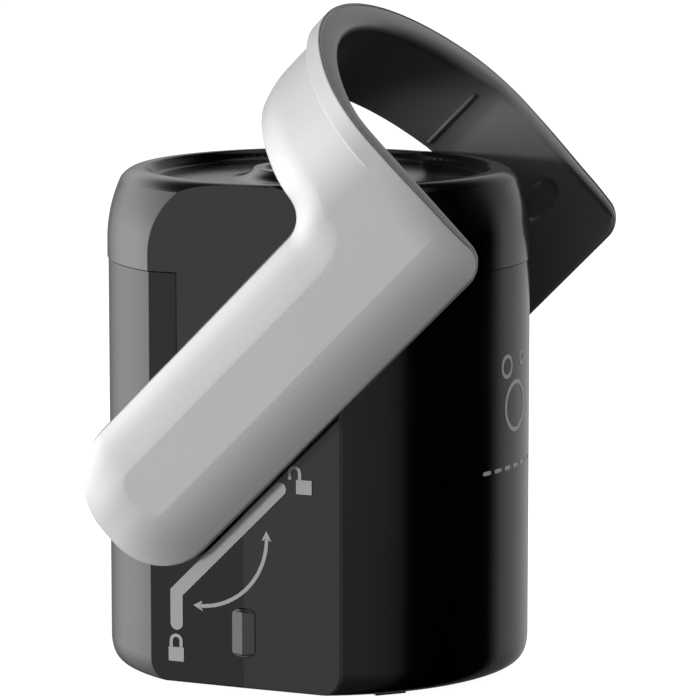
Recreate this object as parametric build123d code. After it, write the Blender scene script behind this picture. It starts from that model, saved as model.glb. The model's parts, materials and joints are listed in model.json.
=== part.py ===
"""Lever-locking stopper for sparkling-wine bottles, in millimetres.

+Z points up the bottle's axis, and the origin is on that axis at the mouth of the bottle socket.
-Y is the front, where the lever's band lies once it is locked.  The pivot axis runs along X.
The lever is drawn locked, with its arms hanging down, then turned up to its open rest position.
"""
import os
from math import atan, cos, degrees, radians, sin, sqrt, tan

from build123d import *

# ---- driving dimensions ----
BODY_R = 24.0            # outer radius of the lower shell
CAP_R = 24.13            # the cap stands very slightly proud of it
FLAT_X = 21.2            # distance of each side flat from the axis
WALL = 2.0
SEAM_Z = 46.15           # parting line between shell and cap
PIVOT_Z = 32.4           # height of the lever's pivot axis
CREST_Z = 56.25          # highest ring of the lid
SOCKET_R = 16.4          # bottle socket in the base ring
OPEN_TURN = -135.0       # from the locked drawing to the open rest pose, about +X
FLAT_SLOPE = 0.5         # each half of a flat leans back by this many degrees
GAP = 0.12               # visible parting gap
FIT = 0.05               # radial running clearance

# ---- lower shell ----
SHELL_IN_R = BODY_R - WALL
FLAT_IN_X = FLAT_X - WALL
BASE_R = 23.0
BASE_ROUND = 2.4
FOOT_Z = -0.6
TONGUE_HALF = 8.0        # half width of the cap's tongues, and the radius of their ends
BUMP = {"z": 6.3, "length": 5.1, "width": 2.7, "height": 0.46, "edge": 0.1}

# ---- cap and lid ----
CAP_STRAIGHT_Z = 48.0
CREASE_R, CREASE_Z = 22.6, 55.0
SHOULDER_ARC_R = 16.78
LID_CREST_R = 20.2
LID_ARC_R = 2.93
DISH_R, DISH_Z = 17.7, 54.9
LID_T = 1.5
PORT_R, PORT_FOOT_R, PORT_Z = 7.5, 9.9, 56.1

# ---- lever, in its own terms: u runs from the pivot to the rim, v from the arms to the band ----
ARM_HALF = 8.9
ARM_TOP_U = -22.8
ARM_CORNER_R = 8.0
RIM_U = 32.3
RIM_CORNER_R = 3.0
BAND_U = 20.35
BAND_FILLET = 3.0
ARM_IN_X = 21.75
ARM_EDGE_X = 22.6
ARM_OUT_X = 24.2
BEVEL_W = 5.9
BAND_IN_R, BAND_OUT_R = 25.0, 26.55
LIP_R, LIP_U = 27.6, 30.1
IN_BLEND, OUT_BLEND, LIP_BLEND = 4.0, 15.0, 20.0   # plan radii where the arms run into the band
LINER_T = 0.5
FLAT_EDGE_R = 0.2          # rounding where a flat meets the round of the body
RIM_SKIN = 0.3           # silver skin left outside the liner's rim flange
FLANGE_T = 0.8

# ---- mechanism ----
JOURNAL_R = 4.2
BUSH_R = 5.3
DRIVE_R = 3.0
CAM_THROW = 2.5
CAM_PIN_R = 1.5
CAM_START = 112.5        # degrees of the cam pin from +Y towards +Z, at rest
SLEEVE_TRAVEL = 2 * CAM_THROW * sin(radians(67.5))
SLEEVE_Z = (16.6, 36.0)
SLEEVE_OUT_R, SLEEVE_IN_R = 21.6, 17.2
SLEEVE_FLAT_X = 18.9
EAR_TOP_Z = 39.6
CLAW_AZIMUTHS = {"claw_front_left": 225, "claw_front_right": 315, "claw_back_right": 45, "claw_back_left": 135}
CLAW_PIN = {"r": 18.2, "z": 40.0, "radius": 1.0, "length": 11.4}
CLAW_W = 7.6
CARRIER_Z = (42.0, 45.6)
PISTON_Z = (28.4, 31.0)
STEM_R = 6.0
SEAL_Z = 26.0
PLUG_TIP_Z = 15.4
VALVE_FLOOR_Z = 42.6


def rz(radius, z):
    """A point of a turned profile."""
    return (radius, z)


def turned(*edges):
    """A solid turned about Z from the closed outline that the edges make in the XZ plane."""
    return revolve(Plane.XZ * make_face(Curve() + list(edges)), Axis.Z, 360)


def ring(outer, inner, z0, z1):
    height = z1 - z0
    body = Cylinder(outer, height, align=(Align.CENTER, Align.CENTER, Align.MIN))
    if inner:
        body -= Cylinder(inner, height, align=(Align.CENTER, Align.CENTER, Align.MIN))
    return Pos(0, 0, z0) * body


def block(x, y, z):
    """A box from three (low, high) pairs."""
    size = [high - low for low, high in (x, y, z)]
    centre = [(high + low) / 2 for low, high in (x, y, z)]
    return Pos(*centre) * Box(*size)


def x_cylinder(radius, x0, x1, y=0.0, z=PIVOT_Z):
    """A cylinder along X between x0 and x1."""
    body = Cylinder(radius, abs(x1 - x0))
    return Pos((x0 + x1) / 2, y, z) * Rot(0, 90, 0) * body


def capsule_x(length, width, x0, x1, z):
    """An upright capsule in the YZ plane, extruded along X."""
    slot = SlotOverall(length, width, rotation=90)
    return extrude(Plane(origin=(x0, 0, z), x_dir=(0, 1, 0), z_dir=(1, 0, 0)) * slot, x1 - x0)


def both_sides(part):
    """The part and its mirror image across the YZ plane."""
    return [part, part.mirror(Plane.YZ)]


def cut_all(body, tools):
    for tool in tools:
        body -= tool
    return body


def coil(mean_r, wire_r, z0, z1, turns):
    """A closed-end compression spring as one swept solid."""
    pitch = (z1 - z0 - 2 * wire_r) / turns
    path = Pos(0, 0, z0 + wire_r) * Helix(pitch, pitch * turns, mean_r)
    start = Plane(origin=path @ 0, z_dir=path % 0)
    return sweep(start * Circle(wire_r), path=path)


# ---- outer casing ----
def body_blank():
    """The turned outer form of the lower shell."""
    return turned(
        Line(rz(0, 0), rz(BASE_R, 0)),
        Bezier(rz(BASE_R, 0), rz(23.55, 0), rz(BODY_R, 1.05), rz(BODY_R, BASE_ROUND)),
        Line(rz(BODY_R, BASE_ROUND), rz(BODY_R, SEAM_Z - GAP)),
        Line(rz(BODY_R, SEAM_Z - GAP), rz(0, SEAM_Z - GAP)),
        Line(rz(0, SEAM_Z - GAP), rz(0, 0)),
    )


def crown_blank():
    """The turned outer form of cap and lid together, from the seam to the lid's crest."""
    dish_wall_r = 19.15
    crest_drop = 0.75
    return turned(
        Line(rz(0, SEAM_Z), rz(CAP_R, SEAM_Z)),
        Line(rz(CAP_R, SEAM_Z), rz(CAP_R, CAP_STRAIGHT_Z)),
        RadiusArc(rz(CAP_R, CAP_STRAIGHT_Z), rz(CREASE_R, CREASE_Z), -SHOULDER_ARC_R),
        RadiusArc(rz(CREASE_R, CREASE_Z), rz(LID_CREST_R, CREST_Z), -LID_ARC_R),
        Bezier(
            rz(LID_CREST_R, CREST_Z),
            rz(LID_CREST_R - 0.6, CREST_Z),
            rz(dish_wall_r + 0.25, CREST_Z - 0.25),
            rz(dish_wall_r, CREST_Z - crest_drop),
        ),
        Bezier(
            rz(dish_wall_r, CREST_Z - crest_drop),
            rz(dish_wall_r - 0.25, DISH_Z + 0.1),
            rz(DISH_R + 0.6, DISH_Z),
            rz(DISH_R, DISH_Z),
        ),
        Line(rz(DISH_R, DISH_Z), rz(0, DISH_Z)),
        Line(rz(0, DISH_Z), rz(0, SEAM_Z)),
    )


def flat_cutters(x, lean=0.0):
    """Two blocks that trim a body to the side flats; with a lean, each flat is a shallow ridge."""
    deep = 20.0
    wide = 40.0
    drop = wide * tan(radians(lean))
    outline = Polyline((x, 0), (x - drop, wide), (x + deep, wide), (x + deep, -wide), (x - drop, -wide), (x, 0))
    cutter = extrude(make_face(outline), 2 * wide, both=True)
    return both_sides(cutter)


def tongue_outline(grow=0.0, thickness=(FLAT_IN_X, FLAT_X)):
    """The tongue that hangs from the cap over the pivot, with a round end."""
    half = TONGUE_HALF + grow
    x0, x1 = thickness
    strip = block((x0, x1), (-half, half), (PIVOT_Z, SEAM_Z + grow))
    return strip + x_cylinder(half, x0, x1)


def body_shell():
    """Lower shell with two side flats, a detent bump on each and slots for the cap's tongues."""
    shell = cut_all(body_blank(), flat_cutters(FLAT_X, FLAT_SLOPE))
    shell = round_flat_edges(shell, 0.5, SEAM_Z - 1)
    shell -= cut_all(ring(SHELL_IN_R, 0, -1, SEAM_Z + 1), flat_cutters(FLAT_IN_X))
    for slot in both_sides(tongue_outline(GAP, (FLAT_IN_X - 1, FLAT_X + 1))):
        shell -= slot
    ledge = ring(SHELL_IN_R + 0.01, 19.4, 39.5, CARRIER_Z[0] - 0.02) & block((-8.6, 8.6), (-30, 30), (39, 42))
    shell += ledge - shell_screw_tools(0.95)
    for side in both_sides(bump_ridge()):
        shell += side
    return shell


def bump_ridge():
    """Detent bump: a capsule whose face is a shallow ridge along its length."""
    bump = capsule_x(BUMP["length"], BUMP["width"], FLAT_X - 0.3, FLAT_X + BUMP["height"], BUMP["z"])
    half, side = BUMP["width"] / 2, FLAT_X + BUMP["edge"]
    top = FLAT_X + BUMP["height"]
    ridge = Polyline((0, -half), (side, -half), (top, 0), (side, half), (0, half), (0, -half))
    ridge = extrude(make_face(ridge), BUMP["z"] + 10)
    end = bump.faces().sort_by(Axis.X)[-1]
    return chamfer(end.edges(), 0.12) & ridge


def round_flat_edges(body, low, high):
    """Softens the edges between the flats and the round of the body, between two heights."""
    edges = []
    for edge in body.edges():
        middle = edge @ 0.5
        along_flat = abs(abs(middle.X) - FLAT_X) < 0.25 and abs(middle.Y) > 0.5
        if along_flat and low < middle.Z < high:
            edges.append(edge)
    return fillet(edges, FLAT_EDGE_R)


def crown_trimmed():
    return cut_all(crown_blank(), flat_cutters(FLAT_X))


def lid_region():
    """Everything inside the crease: the lid's share of the crown."""
    seat_r = 20.6
    lid = turned(
        Line(rz(0, DISH_Z - LID_T), rz(seat_r, DISH_Z - LID_T)),
        Line(rz(seat_r, DISH_Z - LID_T), rz(seat_r, CREASE_Z - 0.9)),
        Line(rz(seat_r, CREASE_Z - 0.9), rz(CREASE_R, CREASE_Z)),
        Line(rz(CREASE_R, CREASE_Z), rz(CREASE_R + 2, CREST_Z + 2)),
        Line(rz(CREASE_R + 2, CREST_Z + 2), rz(0, CREST_Z + 2)),
        Line(rz(0, CREST_Z + 2), rz(0, DISH_Z - LID_T)),
    )
    return lid


def top_lid():
    """Domed rim and dished floor, with a hole for the charging port."""
    lid = round_flat_edges(crown_trimmed() & lid_region(), CREASE_Z + 0.2, CREST_Z)
    return lid - ring(PORT_R - 1.0, 0, 50, 60)


def top_cap():
    """Cap with its shoulder, and a tongue down each side that carries the lever's pivot."""
    cap = round_flat_edges(crown_trimmed() - lid_region(), SEAM_Z + 0.2, 54.0)
    cavity = ring(SHELL_IN_R, 0, SEAM_Z - 1, 52.0) + ring(20.2, 0, 51, 60)
    cap -= cut_all(cavity, flat_cutters(FLAT_IN_X))
    for tongue in both_sides(tongue_outline()):
        cap += tongue
    for bore in both_sides(x_cylinder(BUSH_R, FLAT_IN_X - 1, FLAT_X + 1)):
        cap -= bore
    return cap


def base_ring():
    """Closes the bottom round the bottle socket, and stands on four small feet."""
    body = cut_all(ring(SHELL_IN_R - FIT, SOCKET_R, 0, 3.0), flat_cutters(FLAT_IN_X - FIT))
    for azimuth in CLAW_AZIMUTHS.values():
        foot = block((19.6, 21.4), (-1.8, 1.8), (FOOT_Z, 0.5))
        body += Rot(0, 0, azimuth) * foot
    return body - base_screw_tools(0.95, (-1, 4)) - base_screw_tools(1.9, (-1, 1.2))


def base_screw_tools(radius, z):
    """Four plain cylinders at the base screws' places."""
    tools = []
    for azimuth in (70, 110, 250, 290):
        tools.append(Rot(0, 0, azimuth) * Pos(19.3, 0, 0) * ring(radius, 0, *z))
    return Part() + tools


def shell_screw_tools(radius, z=(38, 47)):
    """Four plain cylinders where screws join the carrier to the shell's ledge."""
    tools = []
    for azimuth in (75, 105, 255, 285):
        tools.append(Rot(0, 0, azimuth) * Pos(20.95, 0, 0) * ring(radius, 0, *z))
    return Part() + tools


# ---- fixed inner frame ----
def claw_frame(azimuth):
    """Places a claw drawn at azimuth 0, with the radius along +X."""
    return Rot(0, 0, azimuth)


def carrier():
    """Inner frame: a plate under the cap, the valve hub, the piston guide and the claws' lugs."""
    low, high = CARRIER_Z
    plate = cut_all(ring(SHELL_IN_R - FIT, 0, low, high), flat_cutters(FLAT_IN_X - FIT))
    hub = ring(9.0, 0, high, DISH_Z - LID_T)
    guide = ring(8.5, 0, 33.0, low)
    frame = plate + hub + guide
    for azimuth in CLAW_AZIMUTHS.values():
        for side in (-1, 1):
            inner, outer = CLAW_W / 2 + 0.15, CLAW_W / 2 + 1.95
            lug = block((16.6, 19.6), sorted((side * inner, side * outer)), (38.2, low))
            frame += claw_frame(azimuth) * lug
        frame -= claw_frame(azimuth) * claw_pin()
    frame -= ring(STEM_R + FIT, 0, 32, 41.7)
    frame -= ring(1.2, 0, 41, 43)
    frame -= ring(3.3, 0, VALVE_FLOOR_Z, 49.0)
    frame -= ring(5.2, 0, 49.0, 56)
    return frame - shell_screw_tools(0.95)


def claw_pin():
    pin = Pos(CLAW_PIN["r"], 0, CLAW_PIN["z"]) * Rot(90, 0, 0)
    return pin * Cylinder(CLAW_PIN["radius"], CLAW_PIN["length"])


def claw_pins():
    return Part() + [claw_frame(azimuth) * claw_pin() for azimuth in CLAW_AZIMUTHS.values()]


def screws(shank_tools, heads):
    """A set of identical screws, shanks and heads fused."""
    return shank_tools + heads


def shell_screws():
    shanks = shell_screw_tools(0.95, (39.5, CARRIER_Z[1]))
    return screws(shanks, shell_screw_tools(0.95, (CARRIER_Z[1] - 0.5, CARRIER_Z[1])))


def charge_port():
    """Raised boss that the gas charger seats on; it plugs into the carrier's hub."""
    boss = turned(
        Line(rz(0, 51.0), rz(5.15, 51.0)),
        Line(rz(5.15, 51.0), rz(5.15, DISH_Z - LID_T)),
        Line(rz(5.15, DISH_Z - LID_T), rz(PORT_R - 1.05, DISH_Z - LID_T)),
        Line(rz(PORT_R - 1.05, DISH_Z - LID_T), rz(PORT_R - 1.05, DISH_Z)),
        Line(rz(PORT_R - 1.05, DISH_Z), rz(PORT_FOOT_R, DISH_Z)),
        Bezier(rz(PORT_FOOT_R, DISH_Z), rz(8.5, DISH_Z + 0.1), rz(7.9, DISH_Z + 0.45), rz(PORT_R, PORT_Z - 0.12)),
        Line(rz(PORT_R, PORT_Z - 0.12), rz(PORT_R - 0.12, PORT_Z)),
        Line(rz(PORT_R - 0.12, PORT_Z), rz(6.2, PORT_Z)),
        Line(rz(6.2, PORT_Z), rz(6.0, PORT_Z - 0.3)),
        Line(rz(6.0, PORT_Z - 0.3), rz(0, PORT_Z - 0.3)),
        Line(rz(0, PORT_Z - 0.3), rz(0, 51.0)),
    )
    boss -= ring(1.7, 0, 50, 60)
    return boss - ring(2.8, 0, 50, 52.4)


def valve_seat():
    """Turned insert under the port: the valve pin's head closes against its lower face."""
    return ring(5.15, 1.7, 49.3, 51.0) + ring(3.25, 1.7, 47.6, 49.3)


def valve_oring():
    return ring(5.15, 3.4, 49.0, 49.3)


# ---- gas valve ----
def valve_pin():
    """Sprung poppet: its top shows in the port, and its head seals under the seat."""
    stem = ring(1.62, 0, 46.9, PORT_Z - 0.45)
    head = ring(2.9, 0, 46.3, 47.55)
    tail = ring(1.2, 0, 45.0, 46.4)
    return stem + head + tail


def valve_spring():
    return coil(2.3, 0.28, VALVE_FLOOR_Z + 0.03, 46.27, 4)


# ---- spring-loaded seal ----
def seal_piston():
    """Holder of the seal, guided by its stem in the carrier."""
    body = ring(13.6, 0, *PISTON_Z) + ring(STEM_R, 0, PISTON_Z[1], 39.4)
    body = fillet(body.edges().filter_by(GeomType.CIRCLE).group_by(Axis.Z)[-1], 0.4)
    return body - ring(2.4, 0, 20, 42)


def seal_plug():
    """Soft seal: a washer for the bottle's lip and a tapered plug for its mouth, with two ribs."""
    plug = turned(
        Line(rz(0, PLUG_TIP_Z), rz(7.4, PLUG_TIP_Z)),
        Line(rz(7.4, PLUG_TIP_Z), rz(8.1, PLUG_TIP_Z + 1.2)),
        Line(rz(8.1, PLUG_TIP_Z + 1.2), rz(8.2, 19.0)),
        ThreePointArc(rz(8.2, 19.0), rz(8.9, 19.7), rz(8.25, 20.4)),
        Line(rz(8.25, 20.4), rz(8.3, 22.0)),
        ThreePointArc(rz(8.3, 22.0), rz(9.0, 22.7), rz(8.4, 23.4)),
        Line(rz(8.4, 23.4), rz(8.5, SEAL_Z - 0.8)),
        RadiusArc(rz(8.5, SEAL_Z - 0.8), rz(9.3, SEAL_Z), 0.8),
        Line(rz(9.3, SEAL_Z), rz(14.0, SEAL_Z)),
        Line(rz(14.0, SEAL_Z), rz(14.3, SEAL_Z + 0.4)),
        Line(rz(14.3, SEAL_Z + 0.4), rz(14.3, PISTON_Z[0])),
        Line(rz(14.3, PISTON_Z[0]), rz(0, PISTON_Z[0])),
        Line(rz(0, PISTON_Z[0]), rz(0, PLUG_TIP_Z)),
    )
    return plug - ring(2.4, 0, 10, 30)


def gas_tube():
    """Hollow screw that clamps the seal to the piston and carries the gas through it."""
    return ring(2.4, 1.3, PLUG_TIP_Z, 38.6) + ring(4.4, 1.3, PLUG_TIP_Z - 1.2, PLUG_TIP_Z)


def seal_spring():
    return coil(10.6, 0.55, PISTON_Z[1] + 0.03, CARRIER_Z[0] - 0.03, 4)


# ---- locking sleeve and claws ----
def cam_height(turn):
    """Height of the cam pin's centre above the pivot, after the lever has turned by that many degrees."""
    return CAM_THROW * sin(radians(CAM_START + turn))


def lock_sleeve():
    """Sleeve that the cam pins push down; its lower edge wedges the claws inwards."""
    low, high = SLEEVE_Z
    sleeve = ring(SLEEVE_OUT_R, SLEEVE_IN_R, low, high)
    ear = ring(SLEEVE_OUT_R, SLEEVE_IN_R, high, EAR_TOP_Z) & block((-30, 30), (-6.6, 6.6), (high - 1, EAR_TOP_Z))
    sleeve = cut_all(sleeve + ear, flat_cutters(SLEEVE_FLAT_X))
    for azimuth in CLAW_AZIMUTHS.values():
        half = CLAW_W / 2 + 0.4
        sleeve -= claw_frame(azimuth) * block((10, 19.4), (-half, half), (low - 1, high + 1))
    play = 0.42
    slot_half = CAM_PIN_R + play
    far, near = -CAM_THROW, -CAM_THROW * cos(radians(67.5))
    slot_z = PIVOT_Z + cam_height(0)
    slot = block((SLEEVE_IN_R - 2, 25), (far, near), (slot_z - slot_half, slot_z + slot_half))
    for y in (far, near):
        slot += x_cylinder(slot_half, SLEEVE_IN_R - 2, 25, y, slot_z)
    for side in both_sides(slot):
        sleeve -= side
    return sleeve


def claw(azimuth):
    """Claw hinged at its top, with a hook that closes under the bottle's collar."""
    outline = Polyline(
        (17.2, 40.0), (17.2, 18.2), (18.0, 17.4), (18.0, 12.2), (16.6, 11.4), (16.6, 9.4), (17.6, 8.2),
        (20.9, 8.2), (21.5, 9.0), (21.5, 12.0), (19.2, 16.4), (19.2, 40.0), (17.2, 40.0),
    )
    profile = make_face(outline) + Pos(CLAW_PIN["r"], CLAW_PIN["z"]) * Circle(1.85)
    body = extrude(Plane(origin=(0, 0, 0), x_dir=(1, 0, 0), z_dir=(0, -1, 0)) * profile, CLAW_W / 2, both=True)
    body -= ring(SOCKET_R + 0.2, 0, 7, 12.3)
    body &= ring(21.55, 0, 7, 43)
    pin_hole = Pos(CLAW_PIN["r"], 0, CLAW_PIN["z"]) * Rot(90, 0, 0) * Cylinder(CLAW_PIN["radius"] + FIT, 20)
    return claw_frame(azimuth) * (body - pin_hole)


# ---- lever ----
def to_rest(part):
    """Turns a part drawn locked to the lever's open rest pose."""
    return Pos(0, 0, PIVOT_Z) * Rot(OPEN_TURN, 0, 0) * Pos(0, 0, -PIVOT_Z) * part


def lever_z(u):
    """Height of a point u along the arm, with the lever locked."""
    return PIVOT_Z - u


def lever_side():
    """Side view of the lever past its rim: the arm with its round end, and the band's share."""
    beyond = 60.0
    arm = Pos(0, (lever_z(ARM_TOP_U) + lever_z(beyond)) / 2) * Rectangle(2 * ARM_HALF, beyond - ARM_TOP_U)
    arm = fillet(arm.vertices().group_by(Axis.Y)[-1], ARM_CORNER_R)
    band = Pos(-ARM_HALF - beyond / 2 + 1, (lever_z(BAND_U) + lever_z(beyond)) / 2) * Rectangle(
        beyond + 2, beyond - BAND_U
    )
    side = arm + band
    corner = side.vertices().sort_by_distance((-ARM_HALF, lever_z(BAND_U)))[0]
    return fillet(corner, BAND_FILLET)


def lever_side_plane(x):
    """The plane of the side view at a distance x from the axis."""
    return Plane(origin=(x, 0, 0), x_dir=(0, 1, 0), z_dir=(1, 0, 0))


def lever_form():
    """Everything that the side view and its wide bevels allow."""
    side = lever_side()
    core = extrude(lever_side_plane(-ARM_EDGE_X) * side, 2 * ARM_EDGE_X)
    depth = 8.0
    slope = (ARM_OUT_X - ARM_EDGE_X) / BEVEL_W
    taper = 90 - degrees(atan(slope))
    raised = extrude(lever_side_plane(ARM_EDGE_X) * side, ARM_OUT_X - ARM_EDGE_X, taper=taper)
    top = raised.faces().sort_by(Axis.X)[-1]
    raised += extrude(top, depth)
    form = core
    for flank in both_sides(raised):
        form += flank
    return form


def u_outline(x, radius, blend):
    """Plan view of a U: straight arms at +-x joined by an arc at the front, corners blended."""
    back = 30.0
    straight = Pos(0, back / 2) * Rectangle(2 * x, back)
    front = Pos(0, -radius / 2) * Rectangle(2 * x, radius)
    shape = straight + (front & Circle(radius))
    corner_y = -sqrt(radius**2 - x**2)
    corners = [shape.vertices().sort_by_distance((side * x, corner_y))[0] for side in (-1, 1)]
    return fillet(corners, blend)


def u_prism(outline, u0, u1):
    """A U outline extruded from u0 to u1 along the locked arms."""
    return extrude(Plane.XY.offset(lever_z(u1)) * outline, u1 - u0)


def lever_blank():
    """Outer form of the whole lever, silver shell and liner together."""
    low, high = -30.0, RIM_U
    outer = u_prism(u_outline(ARM_OUT_X, BAND_OUT_R, OUT_BLEND), low, high)
    outer += u_prism(u_outline(ARM_OUT_X, LIP_R, LIP_BLEND), LIP_U, RIM_U)
    blank = outer & lever_form()
    roll = make_face(Polyline((ARM_OUT_X, RIM_U - 3.2), (ARM_OUT_X + 5, RIM_U - 3.2), (ARM_OUT_X + 5, RIM_U + 1),
                              (ARM_OUT_X - 0.95, RIM_U + 1), (ARM_OUT_X - 0.7, RIM_U), (ARM_OUT_X, RIM_U - 3.2)))
    plane = Plane(origin=(0, 0, PIVOT_Z), x_dir=(1, 0, 0), z_dir=(0, 1, 0))
    roll = extrude(plane * roll, 12.0, both=True)
    for side in both_sides(roll):
        blank -= side
    corner_cut = block((-40, 40), (ARM_HALF - RIM_CORNER_R, ARM_HALF + 1), (lever_z(RIM_U) - 1, lever_z(RIM_U) + RIM_CORNER_R))
    corner_cut -= x_cylinder(RIM_CORNER_R, -40, 40, ARM_HALF - RIM_CORNER_R, lever_z(RIM_U) + RIM_CORNER_R)
    return blank - corner_cut


def inner_u(grow=0.0, u0=-40.0, u1=60.0):
    """The hollow of the U, grown outwards by the liner's thickness when asked."""
    return u_prism(u_outline(ARM_IN_X + grow, BAND_IN_R + grow, IN_BLEND), u0, u1)


def liner_blank(blank):
    """The liner's share of the lever: a skin inside the U, and a flange over the rim's end."""
    skin = blank & inner_u(LINER_T)
    outer = u_prism(u_outline(ARM_OUT_X - 0.7 - RIM_SKIN, LIP_R - RIM_SKIN, LIP_BLEND), RIM_U - FLANGE_T, RIM_U)
    flange = blank & outer
    return (skin + flange) - inner_u()


def pivot_holes(radius, x0, x1):
    return both_sides(x_cylinder(radius, x0, x1))


def lever_shell(blank, liner):
    """Satin silver outer shell of the lever, with blind holes for the pivot pins."""
    shell = blank - inner_u() - liner
    for hole in pivot_holes(DRIVE_R, ARM_IN_X, ARM_OUT_X - 0.7):
        shell -= hole
    return shell


def lever_liner(liner):
    """Dark liner, with the detent recesses and two fine ribs inside the band."""
    liner = cut_all(liner, pivot_holes(DRIVE_R, ARM_IN_X - 1, ARM_IN_X + LINER_T + 1))
    recess_z = BUMP["z"]
    recess = capsule_x(BUMP["length"] + 0.4, BUMP["width"] + 0.4, ARM_IN_X - 1, ARM_IN_X + 0.55, recess_z)
    liner = cut_all(liner, both_sides(recess))
    rib_angle = 34.0
    rib = block((BAND_IN_R - 0.3, BAND_IN_R + 0.3), (-0.18, 0.18), (lever_z(29.4), lever_z(21.0)))
    for side in both_sides(Rot(0, 0, -rib_angle) * rib):
        liner += side
    return liner


def pivot_pin():
    """Right-hand pivot pin: drive stub in the lever, journal in the cap's tongue, cam pin inside."""
    stub = x_cylinder(DRIVE_R, FLAT_X + 0.3, ARM_OUT_X - 0.75)
    journal = x_cylinder(JOURNAL_R, FLAT_IN_X - 0.1, ARM_IN_X - 0.03)
    angle = radians(CAM_START)
    cam_y, cam_z = CAM_THROW * cos(angle), PIVOT_Z + CAM_THROW * sin(angle)
    cam = x_cylinder(CAM_PIN_R, SLEEVE_IN_R - 0.1, FLAT_IN_X, cam_y, cam_z)
    return stub + journal + cam


def pivot_bush():
    """Plain bush in the tongue, round the journal."""
    return x_cylinder(BUSH_R, FLAT_IN_X, FLAT_X) - x_cylinder(JOURNAL_R + FIT, FLAT_IN_X - 1, FLAT_X + 1)


def thrust_washer():
    """Slip washer between flat and arm."""
    washer = x_cylinder(7.0, FLAT_X + 0.03, ARM_IN_X - 0.03)
    return washer - x_cylinder(JOURNAL_R + 0.02, FLAT_X - 1, ARM_IN_X + 1)


def left(part):
    return part.mirror(Plane.YZ)


def build():
    """Every sub-part by name, at the open rest pose."""
    blank = lever_blank()
    liner = liner_blank(blank)
    nodes = {
        "body_shell": body_shell(),
        "top_cap": top_cap(),
        "top_lid": top_lid(),
        "base_ring": base_ring(),
        "base_screws": base_screw_tools(0.95, (0.3, 3.0)) + base_screw_tools(1.85, (0.1, 1.2)),
        "carrier": carrier(),
        "claw_pins": claw_pins(),
        "shell_screws": shell_screws(),
        "charge_port": charge_port(),
        "valve_seat": valve_seat(),
        "valve_oring": valve_oring(),
        "valve_pin": valve_pin(),
        "valve_spring": valve_spring(),
        "seal_piston": seal_piston(),
        "seal_plug": seal_plug(),
        "gas_tube": gas_tube(),
        "seal_spring": seal_spring(),
        "lock_sleeve": lock_sleeve(),
        "pivot_bush_right": pivot_bush(),
        "pivot_bush_left": left(pivot_bush()),
        "thrust_washer_right": thrust_washer(),
        "thrust_washer_left": left(thrust_washer()),
        "pivot_pin_right": pivot_pin(),
        "pivot_pin_left": left(pivot_pin()),
        "lever_shell": to_rest(lever_shell(blank, liner)),
        "lever_liner": to_rest(lever_liner(liner)),
    }
    for name, azimuth in CLAW_AZIMUTHS.items():
        nodes[name] = claw(azimuth)
    return nodes


os.makedirs("parts", exist_ok=True)
for name, shape in build().items():
    export_step(shape, f"parts/{name}.step")
print("sleeve travel", round(SLEEVE_TRAVEL, 3))
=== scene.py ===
"""Looks for the sparkling-wine bottle stopper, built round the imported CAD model.  Metres throughout."""
import json
from math import asin, atan2, cos, hypot, pi, radians, sin, sqrt

import bmesh
import bpy
import numpy as np
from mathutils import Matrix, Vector
from mathutils.geometry import delaunay_2d_cdt


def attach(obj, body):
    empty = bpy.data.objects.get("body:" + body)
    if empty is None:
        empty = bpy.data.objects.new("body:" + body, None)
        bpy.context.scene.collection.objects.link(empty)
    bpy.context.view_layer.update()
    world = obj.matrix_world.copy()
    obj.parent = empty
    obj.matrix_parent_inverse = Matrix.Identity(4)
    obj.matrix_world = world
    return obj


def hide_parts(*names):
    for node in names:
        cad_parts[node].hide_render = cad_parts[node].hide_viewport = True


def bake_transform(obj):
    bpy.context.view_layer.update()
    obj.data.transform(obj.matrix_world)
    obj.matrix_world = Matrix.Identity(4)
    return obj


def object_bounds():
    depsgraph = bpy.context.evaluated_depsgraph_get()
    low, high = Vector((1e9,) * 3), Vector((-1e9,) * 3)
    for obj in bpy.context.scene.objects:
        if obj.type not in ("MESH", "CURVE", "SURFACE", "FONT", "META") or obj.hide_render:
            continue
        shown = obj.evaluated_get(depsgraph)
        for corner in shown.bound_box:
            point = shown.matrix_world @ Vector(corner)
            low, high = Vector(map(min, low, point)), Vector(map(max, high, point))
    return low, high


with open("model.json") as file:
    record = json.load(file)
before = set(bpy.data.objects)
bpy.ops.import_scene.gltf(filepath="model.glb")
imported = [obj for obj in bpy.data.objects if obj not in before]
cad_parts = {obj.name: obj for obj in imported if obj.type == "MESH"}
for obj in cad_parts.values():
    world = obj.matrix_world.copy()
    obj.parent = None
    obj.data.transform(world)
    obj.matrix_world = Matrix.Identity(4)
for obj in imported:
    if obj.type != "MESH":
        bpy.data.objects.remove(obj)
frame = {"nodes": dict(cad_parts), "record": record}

MM = 0.001
BODY_R, FLAT_X = 24.0, 21.2                 # the body's radius and its flats' distance from the axis
DEEP_BLACK = (0.0003, 0.0003, 0.0003)
# Painted reflection: lighter base colour for the front half of each flat, standing in for the reflection it
# catches.
FLAT_FRONT_PAINTED_REFLECTION = (0.008, 0.008, 0.008)
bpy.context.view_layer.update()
scene = bpy.context.scene

# ---------------------------------------------------------------- camera
cam_data = bpy.data.cameras.new("camera")
cam = bpy.data.objects.new("camera", cam_data)
scene.collection.objects.link(cam)
cam_data.sensor_width = 36.0
cam_data.lens = 211.34
cam_data.clip_start, cam_data.clip_end = 0.01, 20.0
cam.location = Vector((-426.734, -184.368, 105.440)) * MM
forward = Vector((0.91056441, 0.38529193, -0.14974174))
cam.rotation_mode = "QUATERNION"
cam.rotation_quaternion = forward.to_track_quat("-Z", "Y")
scene.camera = cam


# ---------------------------------------------------------------- materials
def new_material(name):
    mat = bpy.data.materials.new(name)
    mat.use_nodes = True
    nodes = mat.node_tree.nodes
    return mat, nodes, mat.node_tree.links, nodes["Principled BSDF"]


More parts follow.
